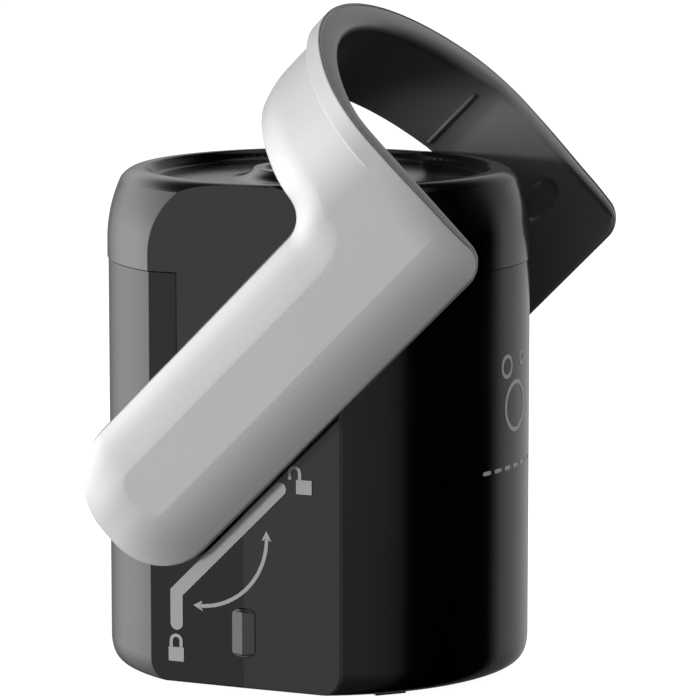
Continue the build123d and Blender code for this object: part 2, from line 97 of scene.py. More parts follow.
def noise(nodes, scale, detail=2.0, roughness=0.5):
    tex = nodes.new("ShaderNodeTexNoise")
    tex.inputs["Scale"].default_value = scale
    tex.inputs["Detail"].default_value = detail
    tex.inputs["Roughness"].default_value = roughness
    return tex


def object_coords(nodes, links, *textures):
    coord = nodes.new("ShaderNodeTexCoord")
    for tex in textures:
        links.new(coord.outputs["Object"], tex.inputs["Vector"])


def to_range(nodes, links, source, low, high, start=0.3, end=0.7):
    node = nodes.new("ShaderNodeMapRange")
    node.inputs["From Min"].default_value = start
    node.inputs["From Max"].default_value = end
    node.inputs["To Min"].default_value = low
    node.inputs["To Max"].default_value = high
    links.new(source, node.inputs["Value"])
    return node.outputs["Result"]


def math_value(nodes, links, operation, *values):
    """Output of a Math node; each value is a number or another node's output."""
    node = nodes.new("ShaderNodeMath")
    node.operation = operation
    for socket, value in zip(node.inputs, values):
        if isinstance(value, (int, float)):
            socket.default_value = value
        else:
            links.new(value, socket)
    return node.outputs[0]


def uneven_gloss(nodes, links, source, roughness, spread):
    return to_range(nodes, links, source, roughness - spread, roughness + spread)


def bump(nodes, links, height, strength, distance):
    node = nodes.new("ShaderNodeBump")
    node.inputs["Strength"].default_value = strength
    node.inputs["Distance"].default_value = distance
    links.new(height, node.inputs["Height"])
    return node.outputs["Normal"]


def plastic(name, colour, roughness, spread=0.03, grain=900.0, depth=0.00001, specular=0.5):
    """Moulded plastic: an even colour, a faint grain and slightly uneven gloss."""
    mat, nodes, links, bsdf = new_material(name)
    fine, broad = noise(nodes, grain, 2.0), noise(nodes, 55.0, 3.0)
    object_coords(nodes, links, fine, broad)
    ramp = nodes.new("ShaderNodeMix")
    ramp.data_type = "RGBA"
    links.new(broad.outputs["Fac"], ramp.inputs["Factor"])
    ramp.inputs["A"].default_value = (*[c * 0.93 for c in colour], 1)
    ramp.inputs["B"].default_value = (*[c * 1.07 for c in colour], 1)
    links.new(ramp.outputs["Result"], bsdf.inputs["Base Color"])
    gloss = uneven_gloss(nodes, links, broad.outputs["Fac"], roughness, spread)
    links.new(gloss, bsdf.inputs["Roughness"])
    links.new(bump(nodes, links, fine.outputs["Fac"], 0.25, depth), bsdf.inputs["Normal"])
    bsdf.inputs["Specular IOR Level"].default_value = specular
    return mat


def metal(name, colour, roughness, spread=0.05, grain=1400.0, depth=0.00002, strength=0.4):
    """Fine-blasted or turned metal."""
    mat, nodes, links, bsdf = new_material(name)
    fine, broad = noise(nodes, grain, 3.0, 0.6), noise(nodes, 60.0, 3.0)
    object_coords(nodes, links, fine, broad)
    ramp = nodes.new("ShaderNodeMix")
    ramp.data_type = "RGBA"
    links.new(fine.outputs["Fac"], ramp.inputs["Factor"])
    ramp.inputs["A"].default_value = (*[c * 0.86 for c in colour], 1)
    ramp.inputs["B"].default_value = (*[min(1, c * 1.14) for c in colour], 1)
    links.new(ramp.outputs["Result"], bsdf.inputs["Base Color"])
    bsdf.inputs["Metallic"].default_value = 1.0
    gloss = uneven_gloss(nodes, links, broad.outputs["Fac"], roughness, spread)
    links.new(gloss, bsdf.inputs["Roughness"])
    links.new(bump(nodes, links, fine.outputs["Fac"], strength, depth), bsdf.inputs["Normal"])
    return mat


BLACK = plastic("black_gloss", DEEP_BLACK, 0.15)
SHELL_BLACK = plastic("black_satin_with_painted_flat_reflection", DEEP_BLACK, 0.16, specular=0.34)
RIB_BLACK = plastic("black_polished", DEEP_BLACK, 0.12, specular=0.9)
LINER = plastic("liner_grey", (0.068, 0.069, 0.072), 0.34, grain=1300.0, depth=0.00003, specular=0.8)
SILVER = metal("blasted_silver", (0.47, 0.473, 0.478), 0.48, grain=7000.0, spread=0.02)
INNER = plastic("inner_black", (0.03, 0.03, 0.032), 0.45)
WHITE = plastic("white_acetal", (0.68, 0.68, 0.66), 0.4)
STEEL = metal("turned_steel", (0.56, 0.56, 0.57), 0.28, strength=0.2)
BRASS = metal("turned_brass", (0.72, 0.52, 0.22), 0.28, strength=0.2)
RUBBER = plastic("seal_rubber", (0.12, 0.125, 0.13), 0.65, grain=700.0, depth=0.00004)
PRINT = plastic("print_grey", (0.17, 0.175, 0.18), 0.5)


def paint_flat_front_reflection(mat):
    """Painted reflection: the front half of each flat gets a lighter base colour that stands in for the
    brighter reflection it catches.
    """
    nodes, links = mat.node_tree.nodes, mat.node_tree.links
    bsdf = nodes["Principled BSDF"]
    coord, split = nodes.new("ShaderNodeTexCoord"), nodes.new("ShaderNodeSeparateXYZ")
    links.new(coord.outputs["Object"], split.inputs[0])
    size = math_value(nodes, links, "ABSOLUTE", split.outputs["X"])
    past = math_value(nodes, links, "GREATER_THAN", size, (FLAT_X - 0.3) * MM)
    short_of = math_value(nodes, links, "LESS_THAN", size, (FLAT_X + 0.1) * MM)
    on_the_flat = math_value(nodes, links, "MULTIPLY", past, short_of)
    front = to_range(nodes, links, split.outputs["Y"], 1.0, 0.0, -0.1 * MM, 0.1 * MM)
    # painted reflection: this mask picks the front half of each flat
    painted_reflection_mask = math_value(nodes, links, "MULTIPLY", on_the_flat, front)
    mix = nodes.new("ShaderNodeMix")
    mix.data_type = "RGBA"
    links.new(painted_reflection_mask, mix.inputs["Factor"])
    links.new(bsdf.inputs["Base Color"].links[0].from_socket, mix.inputs["A"])
    mix.inputs["B"].default_value = (*FLAT_FRONT_PAINTED_REFLECTION, 1)
    links.new(mix.outputs["Result"], bsdf.inputs["Base Color"])


# Paints the lighter reflection onto the front halves of the shell's flats.
paint_flat_front_reflection(SHELL_BLACK)

BY_SLOT = {
    "body_black": BLACK, "flat_black": BLACK, "silver": SILVER, "liner_grey": LINER,
    "inner_plastic": INNER, "white_plastic": WHITE, "steel": STEEL, "brass": BRASS,
    "seal_rubber": RUBBER,
}
for part in frame["record"]["subparts"]:
    node = frame["nodes"][part["node"]]
    node.data.materials.clear()
    on_body = part["node"] == "body_shell"
    node.data.materials.append(SHELL_BLACK if on_body else BY_SLOT[part["material_slot"]])


def mesh_object(name, verts, faces, material, smooth=True):
    mesh = bpy.data.meshes.new(name)
    mesh.from_pydata([tuple(v) for v in verts], [], faces)
    mesh.validate()
    obj = bpy.data.objects.new(name, mesh)
    scene.collection.objects.link(obj)
    obj.data.materials.append(material)
    if smooth:
        mesh.polygons.foreach_set("use_smooth", [True] * len(mesh.polygons))
    return obj


# ---------------------------------------------------------------- lever geometry
# Lever terms, in millimetres: u runs from the pivot to the rim, v across the arms to the band, X as in
# the row.  s is the arc length along the outer plan curve, from one arm's edge.
PIVOT = Vector((0.0, 0.0, 32.4))
U_DIR = Vector((0.0, -sqrt(0.5), sqrt(0.5)))
V_DIR = Vector((0.0, sqrt(0.5), sqrt(0.5)))
ARM, TOP_U, RIM_U, BAND_U = 8.9, -22.8, 32.3, 20.35
TOP_R, RIM_R, WEB_R = 8.0, 3.0, 3.0
ARM_X, BAND_R, BLEND_R = 24.2, 26.55, 15.0
LIP_FOOT_U, RIM_THICK_U = 29.97, 31.48      # where the outer lip and the inner rim's thickening begin
BEVEL = 5.9                                 # width of the bevel round the arms
RECESS_U, RECESS_HALF, RECESS_R = 26.1, 1.25, 1.5   # the liner's recess for the click bump


def at(x, u, v):
    p = PIVOT + U_DIR * u + V_DIR * v
    return (x * MM, p.y * MM, p.z * MM)


class Plan:
    """Plan curve of the U: straight arms at +-x, a blend of radius b, and an arc of radius r."""

    def __init__(self, x, r, b):
        self.x, self.r, self.b = x, r, b
        self.cx, self.cv = x - b, sqrt((r - b) ** 2 - (x - b) ** 2)
        self.turn = atan2(self.cv, self.cx)
        self.s1 = self.cv + ARM
        self.s2 = self.s1 + b * self.turn
        self.s3 = self.s2 + r * (pi / 2 - self.turn)

    def s_of_v(self, v):
        if v <= self.cv:
            return v + ARM
        return self.s1 + self.b * asin(min(1.0, (v - self.cv) / self.b))

    def point(self, s):
        """(X, v, normal X, normal v) at arc length s from the arm's edge."""
        if s <= self.s1:
            return self.x, s - ARM, 1.0, 0.0
        if s <= self.s2:
            a = (s - self.s1) / self.b
            return self.cx + self.b * cos(a), self.cv + self.b * sin(a), cos(a), sin(a)
        a = self.turn + (s - self.s2) / self.r
        return self.r * cos(a), self.r * sin(a), cos(a), sin(a)

    def holds(self, x, v):
        """Whether (x, v) is within the curve."""
        if v <= self.cv:
            return x <= self.x
        if atan2(v - self.cv, x - self.cx) < self.turn:
            return hypot(x - self.cx, v - self.cv) <= self.b
        return hypot(x, v) <= self.r

    def s_at_depth(self, v):
        """Arc length where the curve reaches v."""
        if v <= self.cv:
            return v + ARM
        if v <= self.r * sin(self.turn):
            return self.s1 + self.b * asin((v - self.cv) / self.b)
        return self.s2 + self.r * (asin(min(1.0, v / self.r)) - self.turn)


OUTER = Plan(ARM_X, BAND_R, BLEND_R)
INNER = Plan(21.75, 25.0, 4.0)
LIP = Plan(ARM_X, 27.6, 14.0)
HALF = OUTER.s3


def smooth(t):
    """A step from 0 to 1 with level ends."""
    t = min(1.0, max(0.0, t))
    return t * t * (3 - 2 * t)


def bevel_width(v):
    """The bevel narrows from the arms towards the band."""
    return BEVEL - 1.9 * smooth((v - 3.8) / 5.0)


def round_over(d, r):
    """Drop of a rounded edge of radius r at distance d inside it."""
    return r - sqrt(r**2 - (r - d) ** 2) if d < r else 0.0


def mirrored(s):
    """s on the first half, for a point on either half."""
    return s if s <= HALF else 2 * HALF - s


def gap_to_lip(s):
    """How far the lip's plan curve stands off the outer one."""
    x, v, nx, nv = OUTER.point(s)
    low, high = 0.0, 1.5
    for _ in range(24):
        mid = (low + high) / 2
        low, high = (mid, high) if LIP.holds(x + nx * mid, v + nv * mid) else (low, mid)
    return low


LIP_S = np.linspace(0, HALF, 300)
LIP_GAP = np.array([gap_to_lip(s) for s in LIP_S])


def inner_s(s):
    """Where the inner plan curve lies opposite arc length s of the outer one, seen from the side."""
    if s >= OUTER.s2:
        return INNER.s2 + INNER.r * (OUTER.turn + (s - OUTER.s2) / OUTER.r - INNER.turn)
    v, end = OUTER.point(s)[1], OUTER.r * sin(OUTER.turn)
    return INNER.s_at_depth(v * (1 - (1 - INNER.r / OUTER.r) * smooth((v - 10) / (end - 10))))


def contour():
    """Half outline of the lever's skin in (s, u): middle of the rim, round the arm, to the band's edge."""
    pts = [(HALF, RIM_U)]
    n = 60
    for k in range(1, n):
        pts.append((HALF + (RIM_R - HALF) * k / n, RIM_U))
    for a in np.linspace(0, pi / 2, 12):
        pts.append((RIM_R - RIM_R * sin(a), RIM_U - RIM_R + RIM_R * cos(a)))
    for u in np.linspace(RIM_U - RIM_R, TOP_U + TOP_R, 90)[1:-1]:
        pts.append((0.0, u))
    for a in np.linspace(0, pi / 2, 26):
        pts.append((TOP_R - TOP_R * cos(a), TOP_U + TOP_R - TOP_R * sin(a)))
    pts.append((ARM, TOP_U))
    for a in np.linspace(0, pi / 2, 26):
        pts.append((2 * ARM - TOP_R + TOP_R * sin(a), TOP_U + TOP_R - TOP_R * cos(a)))
    for u in np.linspace(TOP_U + TOP_R, BAND_U - WEB_R, 70)[1:-1]:
        pts.append((2 * ARM, u))
    for a in np.linspace(0, pi / 2, 14):
        pts.append((OUTER.s_of_v(ARM + WEB_R - WEB_R * cos(a)), BAND_U - WEB_R + WEB_R * sin(a)))
    s0 = pts[-1][0]
    for k in range(1, 56):
        pts.append((s0 + (HALF - s0) * k / 55, BAND_U))
    return pts


def edge_distance(s, u):
    """Distance from the arm's and the band's edge, seen from the side; the rim doesn't count."""
    v = OUTER.point(min(s, HALF))[1]
    if s > OUTER.s_of_v(ARM + WEB_R):
        return u - BAND_U
    if v > ARM - 0.0001 or u > BAND_U - WEB_R:
        d = hypot(v - (ARM + WEB_R), u - (BAND_U - WEB_R)) - WEB_R
        if v > ARM + WEB_R:
            d = u - BAND_U
        return min(d, v + ARM) if v < 0 else max(d, 0.0)
    d = min(v + ARM, ARM - v)
    if u < TOP_U + TOP_R:
        cv = max(abs(v) - (ARM - TOP_R), 0.0)
        d = min(d, TOP_R - hypot(cv, u - TOP_U - TOP_R)) if cv > 0 else min(d, u - TOP_U)
    return max(d, 0.0)


def outer_offset(s, u):
    """How far the silver surface stands from the plan curve: bevels and crown inwards, the lip outwards."""
    v = OUTER.point(min(s, HALF))[1]
    band = smooth((v - 6.0) / 9.0)
    rise = 1.62 + (0.72 - 1.62) * band
    crease = 0.30 * (1 - smooth((v - 7.0) / 6.0))
    d = edge_distance(s, u)
    t = min(1.0, d / bevel_width(v))
    drop = rise * (1 - ((2 - crease) * t - (1 - crease) * t * t)) + round_over(d, 0.22)
    drop -= float(np.interp(s, LIP_S, LIP_GAP)) * smooth((u - LIP_FOOT_U) / 0.2)
    hang = 1 - smooth((v + 4.0) / 11.0)
    if u > 28.0:
        drop += 0.75 * hang * ((u - 28.0) / (RIM_U - 28.0)) ** 2
    return drop + round_over(RIM_U - u, 0.15)


def corner_distance(s, u):
    """Distance to the whole outline, rim and rim corner included."""
    d = min(edge_distance(s, u), RIM_U - u)
    if s < RIM_R and u > RIM_U - RIM_R:
        d = min(d, RIM_R - hypot(s - RIM_R, u - RIM_U + RIM_R))
    return max(d, 0.0)


def capsule_distance(v, u):
    """Signed distance to the detent recess, centred on the arm."""
    return hypot(v, max(abs(u - RECESS_U) - RECESS_HALF, 0.0)) - RECESS_R


def inner_offset(s, u):
    """How far the liner's inner face is cut back: rounded edges, the thicker rim and the detent recess."""
    v = INNER.point(inner_s(min(s, HALF)))[1]
    band = smooth((v - 9.0) / 7.0)
    back = round_over(corner_distance(s, u), 0.34)
    back = max(back, round_over(RIM_U - u, 0.35 + 0.75 * band) * band)
    back -= (0.25 + 0.35 * band) * smooth((u - RIM_THICK_U + 0.88 * band) / 0.27)
    c = capsule_distance(v, u)
    if v < 4 and c < 0.1:
        back += 0.42 * smooth((0.1 - c) / 0.3)
    return back


def surface(s, u, plan, offset):
    sign = 1.0
    if s > HALF:
        s, sign = 2 * HALF - s, -1.0
    x, v, nx, nv = plan.point(s if plan is OUTER else inner_s(s))
    o = offset(s, u)
    return sign * (x - nx * o), u, v - nv * o


def skin_points():
    """Contour, rings close inside it, a grid and dense rows along the creases, in (s, u)."""
    half = contour()
    ring = half + [(2 * HALF - s, u) for s, u in half[-2:0:-1]]
    loop = np.array(ring)
    pts = [tuple(p) for p in loop]
    nxt, prv = np.roll(loop, -1, axis=0), np.roll(loop, 1, axis=0)
    tangent = nxt - prv
    tangent /= np.linalg.norm(tangent, axis=1)[:, None]
    inward = np.stack([-tangent[:, 1], tangent[:, 0]], axis=1)
    if np.dot(inward[5], [0, -1]) < 0:
        inward = -inward
    for d in (0.05, 0.11, 0.2, 0.34, 0.55, 0.8, 1.1):
        for p, n in zip(loop, inward):
            q = p + n * d
            if abs(corner_distance(mirrored(q[0]), q[1]) - d) < 0.05:
                pts.append(tuple(q))
    for s in np.arange(0.45, 2 * HALF, 0.55):
        for u in np.arange(TOP_U + 0.4, RIM_U, 0.55):
            m = mirrored(s)
            in_gap = u < BAND_U - WEB_R - 0.3 and m > 2 * ARM - 1.2
            near_lip = 29.7 < u < 31.05
            if not in_gap and not near_lip and inside(m, u) and corner_distance(m, u) > 1.25:
                pts.append((s, u))
    for m in np.arange(0.0, HALF, 0.35):
        for u in (29.9, 29.97, 30.02, 30.07, 30.12, 30.17, 30.25, 30.6, 30.7, 30.8, 30.9):
            if corner_distance(m, u) > 1.25:
                pts += [(m, u), (2 * HALF - m, u)]
    for s, u in crease_points():
        if inside(s, u) and corner_distance(s, u) > 1.25:
            pts += [(s, u), (2 * HALF - s, u)]
    for a in np.linspace(0, 2 * pi, 40, endpoint=False):
        for r in (1.2, 1.35, 1.5, 1.65):
            dv, du = r * cos(a), r * sin(a)
            du += RECESS_HALF if du >= 0 else -RECESS_HALF
            pts += [(ARM + dv, RECESS_U + du), (2 * HALF - ARM - dv, RECESS_U + du)]
    return pts, len(ring)


def inside(s, u):
    """Whether a point of the first half lies within the outline."""
    v = OUTER.point(min(s, HALF))[1]
    if s < 0.02 or u > RIM_U - 0.02 or u < TOP_U + 0.02:
        return False
    if v > ARM - 0.02 and u < BAND_U + 0.02:
        past_web = hypot(v - (ARM + WEB_R), u - (BAND_U - WEB_R)) > WEB_R
        return past_web and v < ARM + WEB_R and u > BAND_U - WEB_R
    return corner_distance(s, u) > 0.02


def crease_points():
    """Close rows of points along the bevel's crease."""
    points = []
    low_u, web_u = TOP_U + TOP_R, BAND_U - WEB_R
    for shift in (-0.12, 0.0, 0.12):
        points += [(BEVEL + shift, u) for u in np.arange(TOP_U + BEVEL, RIM_U, 0.4)]
        points += [(2 * ARM - BEVEL - shift, u) for u in np.arange(TOP_U + BEVEL, 17.0, 0.4)]
        r = TOP_R - BEVEL - shift
        for a in np.linspace(0, pi / 2, 7):
            points.append((TOP_R - r * cos(a), low_u - r * sin(a)))
            points.append((2 * ARM - TOP_R + r * cos(a), low_u - r * sin(a)))
        points += [(s, TOP_U + BEVEL + shift) for s in np.arange(TOP_R, 2 * ARM - TOP_R, 0.4)]
        for a in np.linspace(0, pi / 2, 16):
            for w in np.arange(3.8, 6.4, 0.1):
                v, u = ARM + WEB_R - (WEB_R + w) * cos(a), web_u + (WEB_R + w) * sin(a)
                if abs(w + shift - bevel_width(v)) < 0.051:
                    points.append((OUTER.s_of_v(v), u))
    return points


def triangulate():
    pts, count = skin_points()
    loop = list(range(count))
    verts, edges, faces, *_ = delaunay_2d_cdt([Vector(p) for p in pts], [], [loop], 1, 1e-5)
    return [(v.x, v.y) for v in verts], [tuple(f) for f in faces]


def boundary_edges(faces):
    """Edges that only one face uses, in that face's direction."""
    seen = {}
    for f in faces:
        for a, b in zip(f, f[1:] + f[:1]):
            if (b, a) in seen:
                del seen[(b, a)]
            else:
                seen[(a, b)] = True
    return list(seen)


def closed_skin(name, flat, faces, front, back, material, front_faces_out=True):
    """A closed mesh from one triangulation laid on two surfaces, joined round the outline."""
    n = len(flat)
    verts = [at(*front(s, u)) for s, u in flat] + [at(*back(s, u)) for s, u in flat]
    a = faces if front_faces_out else [f[::-1] for f in faces]
    all_faces = list(a) + [tuple(i + n for i in f[::-1]) for f in a]
    for i, j in boundary_edges(a):
        all_faces.append((j, i, i + n, j + n))
    return mesh_object(name, verts, all_faces, material)


flat, tris = triangulate()


def outer_surface(s, u):
    return surface(s, u, OUTER, outer_offset)


def silver_back(s, u):
    """Inner side of the silver skin: nearly 2 mm in at the arms, 1 mm at the band, thin at the rim."""
    m = mirrored(s)
    v = OUTER.point(m)[1]
    thick = 1.86 + (0.96 - 1.86) * smooth((v - 5.0) / 9.0)
    o = outer_offset(m, u)
    at_rim = smooth((u - 31.3) / 0.3)
    depth = max(thick * (1 - at_rim) + (o + 0.3) * at_rim, o + 0.2)
    return surface(s, u, OUTER, lambda a, b: depth)


def liner_back(s, u):
    """Outer side of the liner, just under the silver skin, with a fine groove at the rim."""
    m = mirrored(s)
    v = OUTER.point(m)[1]
    thick = 1.90 + (1.0 - 1.90) * smooth((v - 5.0) / 9.0)
    o = outer_offset(m, u)
    at_rim = smooth((u - 31.4) / 0.3)
    groove_depth = 0.03 + 0.25 * (1 - smooth((v + 2.0) / 14.0))
    groove = groove_depth * smooth((u - 31.9) / 0.3)
    depth = max(thick * (1 - at_rim) + (o + 0.32 + groove) * at_rim, o + 0.24)
    return surface(s, u, OUTER, lambda a, b: depth)


def liner_front(s, u):
    return surface(s, u, INNER, lambda a, b: -inner_offset(a, b))


silver = closed_skin("lever_silver", flat, tris, outer_surface, silver_back, SILVER)
liner = closed_skin("lever_inner", flat, tris, liner_front, liner_back, LINER, front_faces_out=False)

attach(silver, "lever")
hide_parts("lever_shell")
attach(liner, "lever")
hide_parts("lever_liner")


# ---------------------------------------------------------------- ribs inside the band
def band_ribs():
    """Two fine round-topped ribs along the band's inner face."""
    verts, faces = [], []
    steps = 8
    for side in (-1, 1):
        turn = radians(34.0)
        for u, grow in ((21.0, 0.0), (21.12, 1.0), (29.28, 1.0), (29.4, 0.0)):
            for k in range(steps + 1):
                a = pi * k / steps
                across, up = 0.25 * cos(a), -0.05 + (0.08 + 0.28 * grow) * sin(a)
                r = INNER.r - up
                x, v = r * cos(turn) - across * sin(turn), r * sin(turn) + across * cos(turn)
                verts.append(at(side * x, u, v))
        base = len(verts) - 4 * (steps + 1)
        rows = [[base + e * (steps + 1) + k for k in range(steps + 1)] for e in range(4)]
        part = []
        for a, b in zip(rows, rows[1:]):
            part += [(a[k], a[k + 1], b[k + 1], b[k]) for k in range(steps)]
            part.append((a[-1], a[0], b[0], b[-1]))
        part += [tuple(rows[0][::-1]), tuple(rows[-1])]
        faces += part if side > 0 else [f[::-1] for f in part]
    obj = mesh_object("band_ribs", verts, faces, LINER)
    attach(obj, "lever")


band_ribs()


# ---------------------------------------------------------------- ribs that the lever clicks over
def detent_rib(side):
    """A glossy roof-shaped rib over the click bump at the foot of one flat, with sloped round ends."""
    middle_z, end_r, end_centre = 6.3, 1.88, 0.95
    half_width, straight, tip = 1.37, 2.25, 2.83
    edge_h, crest_h, sink = 0.115, 0.474, 0.15
    ahead = (2.25, 2.35, 2.48, 2.6, 2.7, 2.78, 2.82)
    rows = []
    for s in (*[-a for a in ahead[::-1]], 0.0, *ahead):
        half = half_width
        if abs(s) > straight:
            half = sqrt(max(0.01, end_r**2 - (abs(s) - end_centre) ** 2))
        edge = edge_h * min(1.0, (tip - abs(s)) / 0.13)
        crest = edge + (crest_h - edge_h) * min(1.0, (tip - abs(s)) / 0.48)
        section = [(-half, -sink), (-half, 0.0), (-half + 0.015, edge), (0.0, crest),
                   (half - 0.015, edge), (half, 0.0), (half, -sink)]
        rows.append([(side * (FLAT_X + h) * MM, y * MM, (middle_z + s) * MM) for y, h in section])
    verts = [v for row in rows for v in row]
    n = len(rows[0])
    faces = [tuple(range(n))[::-1], tuple(range(len(verts) - n, len(verts)))]
    for i in range(len(rows) - 1):
        for k in range(n):
            a, b = i * n + k, i * n + (k + 1) % n
            faces.append((a, b, b + n, a + n))
    if side > 0:
        faces = [f[::-1] for f in faces]
    name = "detent_rib_" + ("right" if side > 0 else "left")
    obj = mesh_object(name, verts, faces, RIB_BLACK, smooth=False)
    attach(obj, "stopper_body")


for side in (-1, 1):
    detent_rib(side)


# ---------------------------------------------------------------- springs copied from the CAD coils
def spring_between(node):
    """A fixed copy of a CAD spring's coil, in place of the hidden CAD part."""
    coil = bpy.data.objects.new(node + "_coil", frame["nodes"][node].data.copy())
    scene.collection.objects.link(coil)
    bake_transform(coil)
    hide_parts(node)


spring_between("seal_spring")
spring_between("valve_spring")


# ---------------------------------------------------------------- printed marks
def ribbon(points, width, round_ends=True):
    """Outline of a line of even width along points, with mitred corners."""
    pts = [np.array(p, float) for p in points]
    left, right = [], []
    for i, p in enumerate(pts):
        before = pts[i] - pts[i - 1] if i else pts[1] - pts[0]
        after = pts[i + 1] - pts[i] if i + 1 < len(pts) else before
        before, after = before / np.linalg.norm(before), after / np.linalg.norm(after)
        n = np.array([-(before + after)[1], (before + after)[0]])
        n /= np.linalg.norm(n)
        reach = width / 2 / max(0.3, float(np.dot(n, [-before[1], before[0]])))
        left.append(p + n * reach)
        right.append(p - n * reach)
    if not round_ends:
        return left + right[::-1]

    def cap(centre, start):
        first = atan2(*(start - centre)[::-1])
        angles = [first - pi * k / 10 for k in range(1, 10)]
        return [centre + width / 2 * np.array([cos(a), sin(a)]) for a in angles]

    return left + cap(pts[-1], left[-1]) + right[::-1] + cap(pts[0], right[0])


def arc(centre, r, a0, a1, n=24):
    return [(centre[0] + r * cos(a), centre[1] + r * sin(a)) for a in np.linspace(a0, a1, n)]


def ring(centre, r, width, n=40):
    """A ring as two half ribbons."""
    return [ribbon(arc(centre, r, a, a + pi, n), width, False) for a in (0.0, pi)]


def on_flat(a, b, h):
    """A point of the left flat: a along Y, b up, h out."""
    return (-(FLAT_X + h) * MM, a * MM, b * MM)


def on_front(a, b, h):
    """A point of the round front: a round it, b up, h out."""
    r, turn = BODY_R + h, a / BODY_R
    return (r * sin(turn) * MM, -r * cos(turn) * MM, b * MM)


def printed(name, outlines, place, height=0.03, sink=0.02):
    """Flat marks standing a hair above the surface."""
    verts, faces = [], []
    for outline in outlines:
        loop = list(range(len(outline)))
        pts, _, found, *_ = delaunay_2d_cdt([Vector(p) for p in outline], [], [loop], 1, 1e-6)
        triangles = [tuple(t) for t in found]
        base, n = len(verts), len(pts)
        verts += [place(p.x, p.y, height) for p in pts] + [place(p.x, p.y, -sink) for p in pts]
        for t in triangles:
            faces += [tuple(base + i for i in t), tuple(base + n + i for i in t[::-1])]
        for i, j in boundary_edges(triangles):
            faces.append((base + j, base + i, base + i + n, base + j + n))
    obj = mesh_object(name, verts, faces, PRINT, smooth=False)
    fix_normals(obj)
    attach(obj, "stopper_body")


def fix_normals(obj):
    bm = bmesh.new()
    bm.from_mesh(obj.data)
    bmesh.ops.recalc_face_normals(bm, faces=bm.faces)
    bm.to_mesh(obj.data)
    bm.free()


def circle_through(p, q, r):
    """Centre and radius of the circle through three points."""
    (ax, ay), (bx, by), (cx, cy) = p, q, r
    d = 2 * (ax * (by - cy) + bx * (cy - ay) + cx * (ay - by))
    aa, bb, cc = ax**2 + ay**2, bx**2 + by**2, cx**2 + cy**2
    ux = (aa * (by - cy) + bb * (cy - ay) + cc * (ay - by)) / d
    uy = (aa * (cx - bx) + bb * (ax - cx) + cc * (bx - ax)) / d
    return (ux, uy), hypot(ax - ux, ay - uy)


def turn_arrow():
    """Curved line with a head at each end."""
    first, middle, last = (-2.77, 18.0), (-0.82, 11.8), (6.15, 8.96)
    centre, r = circle_through(first, middle, last)
    angle = [atan2(p[1] - centre[1], p[0] - centre[0]) for p in (first, middle, last)]
    for k in (1, 2):
        while angle[k] - angle[k - 1] > pi:
            angle[k] -= 2 * pi
        while angle[k] - angle[k - 1] < -pi:
            angle[k] += 2 * pi
    way = 1 if angle[2] > angle[0] else -1
    head = 1.15 / r
    start, end = angle[0] + way * head * 0.8, angle[2] - way * head * 0.8
    out = [ribbon(arc(centre, r, start, end, 40), 0.42, False)]
    for a, sign in ((angle[0], way), (angle[2], -way)):
        tip = arc(centre, r, a, a, 1)[0]
        b = a + sign * head
        notch = arc(centre, r, b - sign * head * 0.2, b, 1)[0]
        out.append([tip, arc(centre, r + 0.6, b, b, 1)[0], notch, arc(centre, r - 0.6, b, b, 1)[0]])
    return out


def padlock(y, z, shift=0.0):
    """A plain square body with a shackle; a shifted shackle stands open."""
    body = [(y - 0.93, z - 0.8), (y + 0.93, z - 0.8), (y + 0.93, z + 0.8), (y - 0.93, z + 0.8)]
    top = z + 0.8
    c = y + shift
    foot = top - 0.02
    legs = [(c - 0.6, foot)] + arc((c, top + 0.75), 0.6, pi, 0, 16) + [(c + 0.6, foot)]
    return [body, ribbon(legs, 0.38, False)]


printed("position_bar", [ribbon([(8.2, 6.72), (8.2, 10.25), (-4.42, 22.8)], 1.5)], on_flat)
printed("turn_arrow", turn_arrow(), on_flat)
printed("lock_closed", padlock(8.28, 3.18), on_flat)
printed("lock_open", padlock(-7.29, 23.2, 1.1), on_flat)
bubbles = ring((0.0, 30.2), 2.7, 0.5) + ring((-2.4, 34.9), 1.15, 0.42) + ring((2.0, 35.4), 0.7, 0.36)
printed("front_bubbles", bubbles, on_front)
places = (-6.6, -4.4, -2.2, 0.0, 2.2, 4.4, 6.6)
dashes = [ribbon([(a - 0.5, 23.4), (a + 0.5, 23.4)], 0.45) for a in places]
printed("front_dashes", dashes, on_front)


# ---------------------------------------------------------------- stage
def floor_bowl():
    """A pale floor that curves up into a round backdrop."""
    profile = [(0.0, 0.0), (0.9, 0.0)]
    profile += [(0.9 + 0.6 * sin(a), 0.6 * (1 - cos(a))) for a in np.linspace(0.1, pi / 2, 14)]
    profile += [(1.5, 2.2)]
    count = 96
    angles = [2 * pi * k / count for k in range(count)]
    verts, faces = [(0, 0, 0)], []
    for r, z in profile[1:]:
        verts += [(r * cos(a), r * sin(a), z) for a in angles]
    for k in range(count):
        faces.append((0, 1 + k, 1 + (k + 1) % count))
    for row in range(len(profile) - 2):
        a, b = 1 + row * count, 1 + (row + 1) * count
        faces += [(a + k, b + k, b + (k + 1) % count, a + (k + 1) % count) for k in range(count)]
    mat, nodes, links, bsdf = new_material("pale_floor")
    broad = noise(nodes, 3.0, 2.0)
    object_coords(nodes, links, broad)
    bsdf.inputs["Base Color"].default_value = (0.2, 0.2, 0.2, 1)
    links.new(to_range(nodes, links, broad.outputs["Fac"], 0.85, 0.95), bsdf.inputs["Roughness"])
    bsdf.inputs["Specular IOR Level"].default_value = 0.1
    bsdf.inputs["Emission Color"].default_value = (1, 1, 1, 1)
    bsdf.inputs["Emission Strength"].default_value = 0.97
    obj = mesh_object("floor", verts, faces, mat)
    obj.location.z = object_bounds()[0][2] - 0.0001
    obj.visible_glossy = False
    obj.visible_diffuse = False
    obj.visible_shadow = False


floor_bowl()


